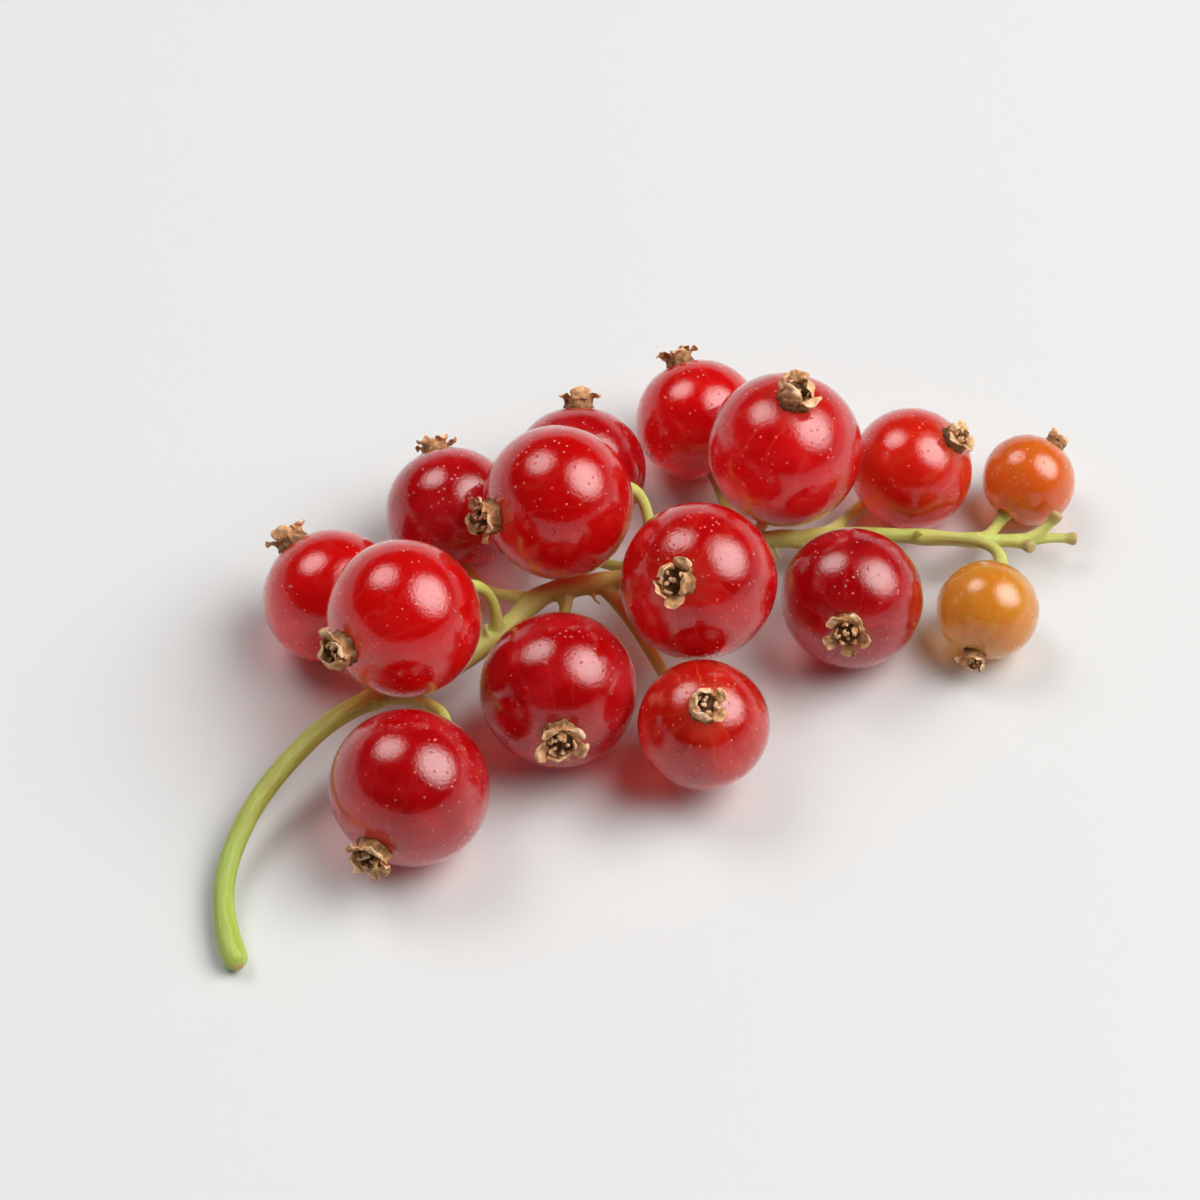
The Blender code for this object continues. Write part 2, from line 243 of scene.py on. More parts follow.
def mesh_piece(name, skin, material, values):
    """A piece in the scene from points in plan millimetres, with its values and material."""
    points, quads, fans = skin
    places = ((points + PLAN_ZERO) * MM).astype(np.float32)
    mesh = bpy.data.meshes.new(name)
    mesh.vertices.add(len(places))
    mesh.vertices.foreach_set("co", places.ravel())
    corners = np.concatenate([quads.ravel(), fans.ravel()]).astype(np.int32)
    totals = np.concatenate([np.full(len(quads), 4), np.full(len(fans), 3)])
    mesh.loops.add(len(corners))
    mesh.loops.foreach_set("vertex_index", corners)
    mesh.polygons.add(len(totals))
    mesh.polygons.foreach_set("loop_start", (np.cumsum(totals) - totals).astype(np.int32))
    mesh.update(calc_edges=True)
    mesh.validate()
    mesh.shade_smooth()
    keep_values(mesh, values)
    mesh.materials.append(material)
    return in_scene(name, mesh)


print("mesh helpers ready")

# %% [markdown]
# ## Reading node trees like sentences
#
# A material, a lamp and the sky are each a graph of small nodes. A few helpers keep the
# code short: one adds a node with its settings and wires, and others name what is needed
# most, such as a number turned into another range and a blend of two colours.

# %% Node helpers
NOISE_LOW, NOISE_HIGH = 0.3, 0.7


class Tree:
    """The node tree of a material, lamp or world, with short calls that return one output."""

    def __init__(self, owner, shader):
        owner.use_nodes = True
        self.owner = owner
        self.nodes = owner.node_tree.nodes
        self.links = owner.node_tree.links
        self.shader = self.nodes[shader]

    def fill(self, socket, value):
        """Links a socket to another one, or sets it to a plain value."""
        if isinstance(value, bpy.types.NodeSocket):
            self.links.new(value, socket)
        else:
            socket.default_value = value

    def node(self, kind, inputs=None, output=0, **settings):
        made = self.nodes.new(kind)
        for key, value in settings.items():
            setattr(made, key, value)
        for key, value in (inputs or {}).items():
            self.fill(made.inputs[key], value)
        return made.outputs[output]

    def attribute(self, name, output="Fac"):
        return self.node("ShaderNodeAttribute", output=output, attribute_name=name)

    def place(self):
        return self.node("ShaderNodeTexCoord", output="Object")

    def math(self, operation, a, b=0.0, clamp=False):
        return self.node("ShaderNodeMath", {0: a, 1: b}, operation=operation, use_clamp=clamp)

    def plus(self, a, b, clamp=False):
        return self.math("ADD", a, b, clamp)

    def times(self, a, b):
        return self.math("MULTIPLY", a, b)

    def span(self, value, low, high, to_low=0.0, to_high=1.0):
        """The value with low..high mapped smoothly to to_low..to_high, and held outside it."""
        return self.node("ShaderNodeMapRange", {
            "Value": value, "From Min": low, "From Max": high, "To Min": to_low, "To Max": to_high,
        }, interpolation_type="SMOOTHSTEP")

    def noise(self, vector, scale, detail=3.0, roughness=0.5):
        return self.node("ShaderNodeTexNoise", {
            "Vector": vector, "Scale": scale, "Detail": detail, "Roughness": roughness,
        })

    def swing(self, noise, by):
        """A noise turned into a number from -by to by."""
        return self.span(noise, NOISE_LOW, NOISE_HIGH, -by, by)

    def blend(self, share, a, b):
        """Colour a where share is 0 and colour b where it is 1."""
        return self.node("ShaderNodeMix", {0: share, 6: a, 7: b}, output=2, data_type="RGBA")

    def bump(self, height, depth, strength):
        inputs = {"Strength": strength, "Distance": depth, "Height": height}
        return self.node("ShaderNodeBump", inputs)

    def wire(self, **sockets):
        """Sets or links the shader's own sockets: Base_Color stands for Base Color."""
        for key, value in sockets.items():
            self.fill(self.shader.inputs[key.replace("_", " ")], value)


def finish_tree(name):
    return Tree(bpy.data.materials.new(name), "Principled BSDF")


print("node helpers ready")

# %% [markdown]
# ## Skin of a ripe berry
#
# A redcurrant's skin is clear and taut, and the flesh behind it is a red jelly. Light goes in
# on one side, is bent as in a glass ball, and glows out of the other side, while the skin
# itself mirrors lamps sharply. So the shader mixes three things: a clear part that bends
# light, a jelly part that scatters it, and a sharp coat on top. Each skin has a `deep` and a
# lighter `body` colour, which a slow noise mixes, and a `pale` one for the markings. `clear`
# is the share of light that goes straight through, `bloom` the dull film that a ripe skin
# carries, and `reach` how far red, green and blue light travel in the jelly.

# %% Five ripenesses
Skin = namedtuple("Skin", "deep body pale clear bloom reach")
SKINS = {
    "dark": Skin(
        (0.52, 0.001, 0.005, 1), (0.80, 0.003, 0.009, 1), (0.84, 0.10, 0.09, 1),
        0.56, 0.30, (1.0, 0.16, 0.08)),
    "red": Skin(
        (0.68, 0.002, 0.004, 1), (0.93, 0.006, 0.005, 1), (0.92, 0.16, 0.09, 1),
        0.58, 0.14, (1.0, 0.16, 0.08)),
    "bright": Skin(
        (0.68, 0.010, 0.005, 1), (0.94, 0.045, 0.012, 1), (0.95, 0.26, 0.12, 1),
        0.60, 0.08, (1.0, 0.2, 0.1)),
    "orange": Skin(
        (0.86, 0.13, 0.012, 1), (0.93, 0.24, 0.030, 1), (0.95, 0.47, 0.16, 1),
        0.55, 0.05, (1.0, 0.5, 0.2)),
    "green": Skin(
        (0.78, 0.26, 0.02, 1), (0.86, 0.42, 0.06, 1), (0.92, 0.66, 0.24, 1),
        0.55, 0.05, (1.0, 0.7, 0.3)),
}
print("skins planned:", ", ".join(SKINS))

# %% [markdown]
# The colour has a pale halo at the dried flower and faint pale veins from end to end. A vein
# is a crest of a cosine of the turn around the berry, pushed about by a noise. The noise of
# the clouds counts its cells in a metre, so its scale is large.

# %% Colour, halo and veins
CLOUD_SCALE, CLOUD_SWING = 420.0, 0.25
VEINS, VEIN_CREST = 12.0, 0.80
VEIN_NOISE_SCALE, VEIN_WANDER = 2.2, 9.0
VEINS_FROM, VEINS_TO, VEIN_FAINTEST, VEIN_STRONGEST = 0.45, 0.97, 0.05, 0.40
HALO_FROM, HALO_TO, HALO_SWING, HALO_STRENGTH = 0.80, 0.97, 0.03, 0.55


def ground_colour(tree, look, cloudy):
    """The mix of deep and body colour, with the veins and the halo blended in."""
    around = tree.attribute("around", "Vector")
    lengthwise = tree.attribute("lengthwise")
    lightness = tree.plus(tree.swing(cloudy, CLOUD_SWING), tree.attribute("tone"), clamp=True)
    colour = tree.blend(lightness, look.deep, look.body)
    x = tree.node("ShaderNodeSeparateXYZ", {0: around}, output="X")
    turn = tree.math("ARCTAN2", x.node.outputs["Y"], x)
    wander = tree.times(tree.noise(around, VEIN_NOISE_SCALE), VEIN_WANDER)
    crest = tree.math("COSINE", tree.plus(tree.times(turn, VEINS), wander))
    strength = tree.span(lengthwise, VEINS_FROM, VEINS_TO, VEIN_FAINTEST, VEIN_STRONGEST)
    vein = tree.times(tree.span(crest, VEIN_CREST, 1.0), strength)
    colour = tree.blend(vein, colour, look.pale)
    ragged = tree.plus(lengthwise, tree.swing(cloudy, HALO_SWING))
    halo = tree.times(tree.span(ragged, HALO_FROM, HALO_TO), HALO_STRENGTH)
    return tree.blend(halo, colour, look.pale)


print("veins around a berry:", VEINS)

# %% [markdown]
# Tiny pale specks lie over the skin, in crowds. They are partly marks on the skin and partly
# painted glints: their pale colour stands in for small glints of the lamps, and it shows
# everywhere, not only where a lamp is mirrored. They are the hearts of Voronoi cells: each
# cell has a random number, and only a high one shows its heart. A slow noise is added to that
# number, so that more of them show where it is high.

# %% Specks
SPECK_SCALE, SPECK_HEART, SPECK_EDGE = 2600.0, 0.09, 0.29
CROWD_SCALE, CROWD_FROM, CROWD_TO, CROWD_MOST = 260.0, 0.44, 0.64, 0.50
HIDDEN_BELOW, SHOWN_ABOVE = 0.78, 0.92
SPECK_AND_GLINT_COLOUR, SPECK_AND_GLINT_STRENGTH = (0.96, 0.48, 0.42, 1), 0.5


def specks(tree, here):
    """A number that is 1 in the middle of a shown speck and 0 between specks."""
    cells = {"Vector": here, "Scale": SPECK_SCALE}
    away = tree.node("ShaderNodeTexVoronoi", cells, output="Distance")
    crowd = tree.span(tree.noise(here, CROWD_SCALE, 2.0), CROWD_FROM, CROWD_TO, 0.0, CROWD_MOST)
    cell_number = tree.node("ShaderNodeSeparateColor", {0: away.node.outputs["Color"]})
    shown = tree.span(tree.plus(cell_number, crowd), HIDDEN_BELOW, SHOWN_ABOVE)
    return tree.times(tree.span(away, SPECK_HEART, SPECK_EDGE, 1.0, 0.0), shown)


print("cells of specks in a millimetre:", SPECK_SCALE * MM)

# %% [markdown]
# The last layer is the bloom, patches of a dull film with a fine grit. Specks and grit also
# raise the surface a little, which roughens the edge of each mirrored lamp.

# %% The whole skin
GRIT_SCALE = 5200.0
BLOOM_FROM, BLOOM_TO, BLOOM_STRENGTH = 0.42, 0.66, 0.5
BLOOM_COLOUR = (0.75, 0.35, 0.42, 1)
SPECK_HEIGHT, GRIT_HEIGHT, RELIEF_DEPTH = 0.7, 0.5, 0.00003
TAUT_ROUGHNESS, DULL_ROUGHNESS = 0.16, 0.45
JELLY_DEPTH = 0.004


def skin_material(name, look):
    tree = finish_tree(f"skin_{name}")
    here = tree.place()
    cloudy = tree.noise(here, CLOUD_SCALE)
    speck = specks(tree, here)
    grit = tree.noise(here, GRIT_SCALE, 2.0)
    bloom = tree.times(tree.span(cloudy, BLOOM_FROM, BLOOM_TO), look.bloom)
    colour = ground_colour(tree, look, cloudy)
    # pale specks blended into the colour: partly marks on the skin, partly painted glints
    colour = tree.blend(tree.times(speck, SPECK_AND_GLINT_STRENGTH), colour, SPECK_AND_GLINT_COLOUR)
    film = tree.times(tree.times(bloom, grit), BLOOM_STRENGTH)
    colour = tree.blend(film, colour, BLOOM_COLOUR)
    height = tree.plus(tree.times(speck, SPECK_HEIGHT), tree.times(grit, GRIT_HEIGHT))
    relief = tree.bump(height, RELIEF_DEPTH, 1.0)
    tree.wire(
        Base_Color=colour,
        Roughness=tree.span(tree.plus(bloom, speck), 0.0, 1.0, TAUT_ROUGHNESS, DULL_ROUGHNESS),
        IOR=1.36,
        Specular_IOR_Level=0.05,
        Normal=relief,
        Subsurface_Weight=1.0,
        Subsurface_Radius=look.reach,
        Subsurface_Scale=JELLY_DEPTH,
        Subsurface_Anisotropy=0.8,
        Transmission_Weight=look.clear,
        Coat_Weight=1.0,
        Coat_IOR=1.55,
        Coat_Roughness=0.06,
        Coat_Normal=relief,
    )
    return tree.owner


SKIN_MATERIALS = {name: skin_material(name, look) for name, look in SKINS.items()}
print("skins made:", ", ".join(SKIN_MATERIALS))

# %% [markdown]
# ## The berries
#
# Real berries are a touch shorter than wide, dimpled where the pedicel goes in, flattened
# under the flower, and never perfectly round. Written as a function of two angles, polar
# from dimple to flower and a turn around, each of those is one more term. A berry that lies
# on the surface is pressed flat there, which is a plain limit on height.

# %% Make the berries
BERRY_RINGS = 90
BERRY_SIDES = 128
FULLNESS = 0.994
DIMPLE_DEPTH, DIMPLE_REACH = 0.30, 0.26
EYE_DEPTH, EYE_REACH = 0.10, 0.35
UPRIGHT_LIMIT = 0.95
BERRY_SEED = 100

Swell = namedtuple("Swell", "size turns poles power")
SWELLS = (
    Swell(0.006, 2, 0, 2), Swell(0.004, 3, 0, 3),
    Swell(0.004, 0, 2, 0), Swell(0.0012, 11, 0, 1),
)


def axes_of(flower):
    """Three unit vectors: two across the berry, and its own axis towards the flower."""
    upright = np.eye(3)[2 if abs(flower[2]) < UPRIGHT_LIMIT else 0]
    first = np.cross(upright, flower)
    first = first / np.linalg.norm(first)
    return np.stack([first, np.cross(flower, first), flower])


def berry_skin(number, berry, middle):
    """r(p, t) = R (fullness + sum of size cos(turns t + poles p + shift) sin(p)^power),
    out = r sin p, up = -shortness r cos p + dimple - eye, where p is the polar angle from
    the pedicel's end, t the turn around the axis, and dimple and eye are bell curves of p."""
    draw = np.random.default_rng(BERRY_SEED + number)
    polar = np.linspace(0, math.pi, BERRY_RINGS + 2)[:, None]
    turn = round_turns(BERRY_SIDES)[None, :]
    shifts = draw.uniform(0, CIRCLE, len(SWELLS))
    swell = sum(
        each.size * np.cos(each.turns * turn + each.poles * polar + shift)
        * np.sin(polar) ** each.power
        for each, shift in zip(SWELLS, shifts))
    radius = berry.width / 2 * (FULLNESS + swell)
    out = radius * np.sin(polar)
    up = -radius * SHORTNESS * np.cos(polar)
    up = up + DIMPLE_DEPTH * np.exp(-((polar / DIMPLE_REACH) ** 2))
    up = up - EYE_DEPTH * np.exp(-(((math.pi - polar) / EYE_REACH) ** 2))
    local = np.stack([out * np.cos(turn), out * np.sin(turn), up], axis=-1)
    placed = local @ axes_of(pointing(berry.heading, berry.rise)) + middle
    placed[..., 2] = np.maximum(placed[..., 2], 0.0)
    skin = closed_skin(placed[1:-1], placed[0, 0], placed[-1, 0])
    around = np.stack(np.broadcast_arrays(np.cos(turn), np.sin(turn), polar), axis=-1)
    around[0], around[-1] = (0, 0, 0), (0, 0, math.pi)
    around = np.concatenate([around[1:-1].reshape(-1, 3), around[:1, 0], around[-1:, 0]])
    tone = np.full(len(around), berry.tone)
    return skin, {"around": around, "lengthwise": around[:, 2] / math.pi, "tone": tone}


for number, (berry, middle) in enumerate(zip(BERRIES, MIDDLES), 1):
    skin, values = berry_skin(number, berry, middle)
    piece = mesh_piece(f"fine_berry_{number:02d}", skin, SKIN_MATERIALS[berry.colour], values)
    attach(piece, "root")
    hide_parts(f"berry_{number:02d}")
print("berries made:", len(BERRIES), "points in each:", len(skin[0]))

# %% [markdown]
# ## Dried flowers
#
# The flower of a currant dries on top of its fruit: a short crinkled neck, five broad sepals
# that shrink to papery tongues, five small petals between them, and a few dead stamens. All
# of it is drawn around an upright axis first, with half of the flower's width as the unit.
# `tint` runs from dark at the bottom of the cup to pale at the dry tips. The neck is a
# profile turned around the axis, in rows of out, up and tint: up the outside, over the lip
# and down into the cup.

# %% The neck
LOBES = 5
NECK_SIDES = 45
NECK_PROFILE = np.array((
    (0.64, -0.16, 0.22), (0.60, 0.02, 0.22), (0.55, 0.12, 0.30),
    (0.56, 0.24, 0.36), (0.59, 0.34, 0.46), (0.56, 0.40, 0.50),
    (0.49, 0.36, 0.30), (0.40, 0.26, 0.12), (0.24, 0.20, 0.04),
))
NECK_BASE, CUP_FLOOR = (0, 0, -0.16), (0, 0, 0.19)
BASE_TINT, CUP_TINT = 0.2, 0.03
CRINKLES = ((0.05, LOBES), (0.04, 9), (0.03, 14))
LIP_ABOVE, LIP_WAVE, LIP_CRESTS = 0.3, 0.04, 3


def neck(draw):
    """out = profile out (1 + sum of size cos(crests turn + shift)), and a wave lifts the lip."""
    turn = round_turns(NECK_SIDES)
    shifts = draw.uniform(0, CIRCLE, len(CRINKLES))
    crinkle = 1
    for (size, crests), shift in zip(CRINKLES, (0, *shifts)):
        crinkle = crinkle + size * np.cos(crests * turn + shift)
    out = NECK_PROFILE[:, :1] * crinkle
    lip = NECK_PROFILE[:, 1:2] > LIP_ABOVE
    up = NECK_PROFILE[:, 1:2] + LIP_WAVE * np.cos(LIP_CRESTS * turn + shifts[2]) * lip
    rings = np.stack([out * np.cos(turn), out * np.sin(turn), up], axis=-1)
    tint = np.repeat(NECK_PROFILE[:, 2], NECK_SIDES)
    return closed_skin(rings, NECK_BASE, CUP_FLOOR), np.concatenate([tint, [BASE_TINT, CUP_TINT]])


print("rings of a neck:", len(NECK_PROFILE))

# %% [markdown]
# A tongue is a flat closed skin. Its middle line turns from one angle to another as it
# leaves the neck, its width swells and rounds off, its sides curl up, and a few waves crumple
# it more and more towards its end.

# %% Tongues
TONGUE_RINGS, TONGUE_SIDES = 18, 24
WIDEST_REACH, HIGHEST_REACH = 0.98, 0.84
LATE_TURN = 1.3
NARROW_FOOT, WIDENING, ROUNDED_END = 0.78, 0.50, 0.995
Wave = namedtuple("Wave", "size along across")
WAVES = (Wave(0.14, 8, 1.8), Wave(0.12, 0, 5.5), Wave(0.10, 13, -3.2))
LEAST_CURL, MOST_CURL, CURL_AT_FOOT = 0.15, 0.55, 0.4
END_THICKNESS, FOOT_THICKER = 0.034, 0.02
SIDE_WAVE, SIDE_TURN = 0.16, 4
FOOT_TINT, TIP_PALER, EDGE_PALER = 0.40, 0.40, 0.10
PALE_LATE, PALE_NARROW = 1.4, 8


def turned(out, side, up, angle):
    """Points from how far they are out along this angle, to its side and up."""
    return np.stack([
        out * math.cos(angle) - side * math.sin(angle),
        out * math.sin(angle) + side * math.cos(angle),
        up,
    ], axis=-1)


def tongue(draw, angle, foot, length, width, tilts, pale, reach_out=None):
    """One papery tongue. The middle line leaves foot (out, up) at the first tilt and ends at
    the second, with tilt(s) = first + (second - first) s^1.3. Its half width is
    w(s) = w (0.78 + 0.5 s) sqrt(1 - 0.995 s^4), and waves lift it off its plane. reach_out is how
    far from the flower's axis it ends, and without it the tongue is only kept inside."""
    along = np.linspace(0, 1, TONGUE_RINGS)[:, None]
    edge = round_turns(TONGUE_SIDES)[None, :]
    tilt = np.radians(tilts[0] + (tilts[1] - tilts[0]) * along**LATE_TURN)
    step = length / (TONGUE_RINGS - 1)
    out = foot[0] + (np.cumsum(np.cos(tilt), axis=0) - np.cos(tilt[0])) * step
    up = foot[1] + (np.cumsum(np.sin(tilt), axis=0) - np.sin(tilt[0])) * step
    half_width = width * (NARROW_FOOT + WIDENING * along) * np.sqrt(1 - ROUNDED_END * along**4)
    across = half_width * np.cos(edge)
    share = across / width
    shifts = draw.uniform(0, CIRCLE, len(WAVES) + 1)
    wave = sum(
        each.size * np.sin(each.along * along + each.across * share + shift)
        for each, shift in zip(WAVES, shifts))
    curl = draw.uniform(LEAST_CURL, MOST_CURL) * share**2
    curl = curl * (CURL_AT_FOOT + (1 - CURL_AT_FOOT) * along)
    thickness = (END_THICKNESS + FOOT_THICKER * (1 - along)) * np.sin(edge)
    off = thickness + width * (wave * along + curl)
    side = across + width * SIDE_WAVE * np.sin(SIDE_TURN * along + shifts[-1]) * along
    out = out - off * np.sin(tilt)
    up = up + off * np.cos(tilt)
    reach = np.hypot(out, side).max()
    draw_in = reach_out / reach if reach_out else min(1, WIDEST_REACH / reach)
    rings = turned(out * draw_in, side * draw_in, up, angle)
    skin = closed_skin(rings, rings[0].mean(axis=0), rings[-1].mean(axis=0))
    tint = FOOT_TINT + pale + TIP_PALER * along**PALE_LATE
    tint = tint + EDGE_PALER * np.abs(np.cos(edge)) ** PALE_NARROW
    return skin, np.concatenate([tint.ravel(), [tint[0].mean(), tint[-1].mean()]])


print("points of a tongue:", TONGUE_RINGS * TONGUE_SIDES + 2)

# %% [markdown]
# Some sepals curl outwards and some fold in over the middle, so no two flowers look alike.
# Sizes are drawn at random, but from a fixed seed, so the same flower comes out each time.
# A stamen is a thin tube with a knob on its end.

# %% Sepals, petals and stamens
FOLDED_SHARE = 0.28
FOLDED_TILTS, OPEN_TILTS = ((60, 90), (115, 170)), ((26, 58), (-30, 22))
FOLDED_LENGTH, OPEN_LENGTH = (0.58, 0.72), (0.52, 0.72)
SEPAL_WIDTH, SEPAL_PALE, SEPAL_REACH = (0.33, 0.43), (-0.20, 0.16), (0.84, 0.98)
PETAL_TILTS, PETAL_LENGTH, PETAL_WIDTH = ((75, 100), (60, 170)), (0.26, 0.40), (0.12, 0.18)
SEPAL_FOOT, PETAL_FOOT = (0.54, 0.27), (0.42, 0.30)
PETAL_PALE = -0.05
STAMEN_BEND, STAMEN_START, STAMEN_SWAY = (-0.22, 0.30), (0.08, 0.26), (-0.14, 0.14)
STAMEN_RINGS, STAMEN_SIDES = 9, 8
STAMEN_UP, STAMEN_CAP, STAMEN_CAP_TINTS = 0.18, (0, 0, 0.02), (0.1, 0.8)
THREAD_RADIUS, KNOB_RADIUS, KNOB_AT, KNOB_SPREAD = 0.032, 0.050, 0.88, 0.12
THREAD_TINT, KNOB_PALER, PALE_FROM = 0.15, 0.6, 0.7


def sepal(draw, angle):
    """A tongue that folds in or opens out, with each size drawn between its two limits."""
    folds_in = draw.random() < FOLDED_SHARE
    tilts = [draw.uniform(*limits) for limits in (FOLDED_TILTS if folds_in else OPEN_TILTS)]
    length = draw.uniform(*(FOLDED_LENGTH if folds_in else OPEN_LENGTH))
    width, pale = draw.uniform(*SEPAL_WIDTH), draw.uniform(*SEPAL_PALE)
    reach_out = None if folds_in else draw.uniform(*SEPAL_REACH)
    return tongue(draw, angle, SEPAL_FOOT, length, width, tilts, pale, reach_out)


def petal(draw, angle):
    tilts = [draw.uniform(*limits) for limits in PETAL_TILTS]
    length, width = draw.uniform(*PETAL_LENGTH), draw.uniform(*PETAL_WIDTH)
    return tongue(draw, angle, PETAL_FOOT, length, width, tilts, PETAL_PALE)


def stamen(draw, angle, height):
    """A dead thread that bends as s^2. Its radius swells to a knob by a bell curve of s."""
    along = np.linspace(0, 1, STAMEN_RINGS)
    bend = draw.uniform(*STAMEN_BEND)
    start = draw.uniform(*STAMEN_START)
    out = start + bend * along**2
    up = STAMEN_UP + height * along
    sway = draw.uniform(*STAMEN_SWAY) * along**2
    line = turned(out, sway, up, angle)
    radius = THREAD_RADIUS + KNOB_RADIUS * np.exp(-(((along - KNOB_AT) / KNOB_SPREAD) ** 2))
    edge = round_turns(STAMEN_SIDES)
    circle = np.stack([np.cos(edge), np.sin(edge), 0 * edge], axis=-1)
    rings = line[:, None] + radius[:, None, None] * circle[None]
    skin = closed_skin(rings, line[0] - STAMEN_CAP, line[-1] + STAMEN_CAP)
    tint = THREAD_TINT + KNOB_PALER * (along > PALE_FROM)
    return skin, np.concatenate([np.repeat(tint, STAMEN_SIDES), STAMEN_CAP_TINTS])


print("share of sepals that fold in:", FOLDED_SHARE)

# %% [markdown]
# The dry parts are dark brown in the cup and straw-coloured at the tips, with a little olive.
# `tint` picks the place on that scale, a noise mottles it, and a finer one gives the grain.

# %% The papery finish
MOTTLE_SCALE, MOTTLE_SWING = 2400.0, 0.20
FIBRE_SCALE, FIBRE_HEIGHT = 9000.0, 0.5
OLIVE_SCALE, OLIVE_FROM, OLIVE_TO, OLIVE_MOST = 900.0, 0.48, 0.68, 0.16
CRUMPLE_DEPTH, CRUMPLE_STRENGTH = 0.00012, 0.7
CUP_BROWN, BROWN = (0.130, 0.058, 0.022, 1), (0.37, 0.170, 0.065, 1)
TAN, STRAW = (0.70, 0.370, 0.165, 1), (0.94, 0.65, 0.40, 1)
OLIVE = (0.26, 0.21, 0.075, 1)
TO_BROWN, TO_TAN, TO_STRAW = (0.05, 0.35), (0.30, 0.62), (0.60, 0.98)


def flower_material():
    tree = finish_tree("dried_flower")
    here = tree.place()
    mottle = tree.noise(here, MOTTLE_SCALE, 4.0, 0.6)
    fibre = tree.noise(here, FIBRE_SCALE, 2.0)
    tint = tree.plus(tree.attribute("tint"), tree.swing(mottle, MOTTLE_SWING))
    colour = tree.blend(tree.span(tint, *TO_BROWN), CUP_BROWN, BROWN)
    colour = tree.blend(tree.span(tint, *TO_TAN), colour, TAN)
    colour = tree.blend(tree.span(tint, *TO_STRAW), colour, STRAW)
    patches = tree.noise(here, OLIVE_SCALE, 1.0)
    olive = tree.span(patches, OLIVE_FROM, OLIVE_TO, 0.0, OLIVE_MOST)
    colour = tree.blend(olive, colour, OLIVE)
    height = tree.plus(mottle, tree.times(fibre, FIBRE_HEIGHT))
    relief = tree.bump(height, CRUMPLE_DEPTH, CRUMPLE_STRENGTH)
    tree.wire(Base_Color=colour, Roughness=0.72, Normal=relief, Specular_IOR_Level=0.35)
    return tree.owner


dried_flower = flower_material()
print("nodes in the papery finish:", len(dried_flower.node_tree.nodes))

# %% [markdown]
# The parts are put together, scaled to the flower's width, turned to the berry's axis and set
# in the flat of the berry. The golden angle gives each flower another start.

# %% Make the dried flowers
CALYX_WIDTH_SHARE = 0.36
GOLDEN_ANGLE = 137.5
FLOWER_SEED = 500
MIDDLE_STAMEN = 0.45
SEPAL_TURN, STAMEN_TURN, STAMEN_HEIGHT = (-0.14, 0.14), (0.3, 0.9), (0.25, 0.5)
ABOVE_EYE, ABOVE_FLOOR = 0.05, 0.02


def flower_skin(number, berry, middle):
    """All the parts of one dried flower, in the plan's millimetres."""
    draw = np.random.default_rng(FLOWER_SEED + number)
    start = math.radians(GOLDEN_ANGLE * number)
    turns = start + CIRCLE * np.arange(LOBES) / LOBES
    parts = [neck(draw), stamen(draw, start, MIDDLE_STAMEN)]
    for turn in turns:
        parts.append(sepal(draw, turn + draw.uniform(*SEPAL_TURN)))
        parts.append(petal(draw, turn + math.pi / LOBES))
        angle, height = turn + draw.uniform(*STAMEN_TURN), draw.uniform(*STAMEN_HEIGHT)
        parts.append(stamen(draw, angle, height))
    points, quads, fans = stacked([skin for skin, _ in parts])
    points[:, :2] *= WIDEST_REACH / np.linalg.norm(points[:, :2], axis=1).max()
    points[:, 2] *= min(1, HIGHEST_REACH / points[:, 2].max())
    tints = np.concatenate([tint for _, tint in parts])
    half = berry.width * CALYX_WIDTH_SHARE / 2
    flower = pointing(berry.heading, berry.rise)
    eye = middle + flower * (berry.width / 2 * SHORTNESS - EYE_DEPTH + ABOVE_EYE)
    placed = (points * half) @ axes_of(flower) + eye
    placed[:, 2] = np.maximum(placed[:, 2], ABOVE_FLOOR)
    return (placed, quads, fans), {"tint": tints}


for number, (berry, middle) in enumerate(zip(BERRIES, MIDDLES), 1):
    skin, values = flower_skin(number, berry, middle)
    piece = mesh_piece(f"fine_calyx_{number:02d}", skin, dried_flower, values)
    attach(piece, "root")
    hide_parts(f"calyx_{number:02d}")
print("dried flowers made:", len(BERRIES), "points in each:", len(skin[0]))

# %% [markdown]
# ## Stalk and pedicels
#
# The stalk is a round section swept along the plan's line. It thins towards the tip and
# swells at each joint. A pedicel is a Bezier curve from the joint to the dimple of its
# berry, thick at both ends, and three bare pedicels at the tip end in a small knob. All of
# them are tubes: a line, its direction and radius at each point, and its kind.

# %% Lines
STALK_STEP, STUB_STEP = 0.35, 0.2
STALK, PEDICEL, STUB = 0, 1, 2
Tube = namedtuple("Tube", "line ways radii kind")


def directions(line):
    """The unit vector along the line at each of its points."""
    ways = np.gradient(line, axis=0)
    return ways / np.linalg.norm(ways, axis=1)[:, None]


def smooth_line(points, step):
    """Points about a step apart on a cubic curve through the given ones. Between two of them
    it is h00 p0 + h10 d m0 + h01 p1 + h11 d m1, with the four Hermite polynomials of t."""
    points = np.array(points, float)
    along = np.concatenate([[0], np.cumsum(np.linalg.norm(np.diff(points, axis=0), axis=1))])
    slopes = np.gradient(points, along, axis=0, edge_order=2)
    wanted = np.linspace(0, along[-1], int(round(along[-1] / step)) + 1)
    piece = np.clip(np.searchsorted(along, wanted, side="right") - 1, 0, len(along) - 2)
    span = (along[piece + 1] - along[piece])[:, None]
    t = (wanted - along[piece])[:, None] / span
    return (
        (2 * t**3 - 3 * t**2 + 1) * points[piece] + (t**3 - 2 * t**2 + t) * span * slopes[piece]
        + (3 * t**2 - 2 * t**3) * points[piece + 1] + (t**3 - t**2) * span * slopes[piece + 1]
    )


def at_station(line, station):
    """The stalk's point and direction where its x is the station's."""
    ways = directions(line)
    place = np.array([np.interp(station, line[:, 0], line[:, axis]) for axis in range(3)])
    way = np.array([np.interp(station, line[:, 0], ways[:, axis]) for axis in range(3)])
    return place, way / np.linalg.norm(way)


print("points on the smooth stalk:", len(smooth_line(STALK_LINE, STALK_STEP)))

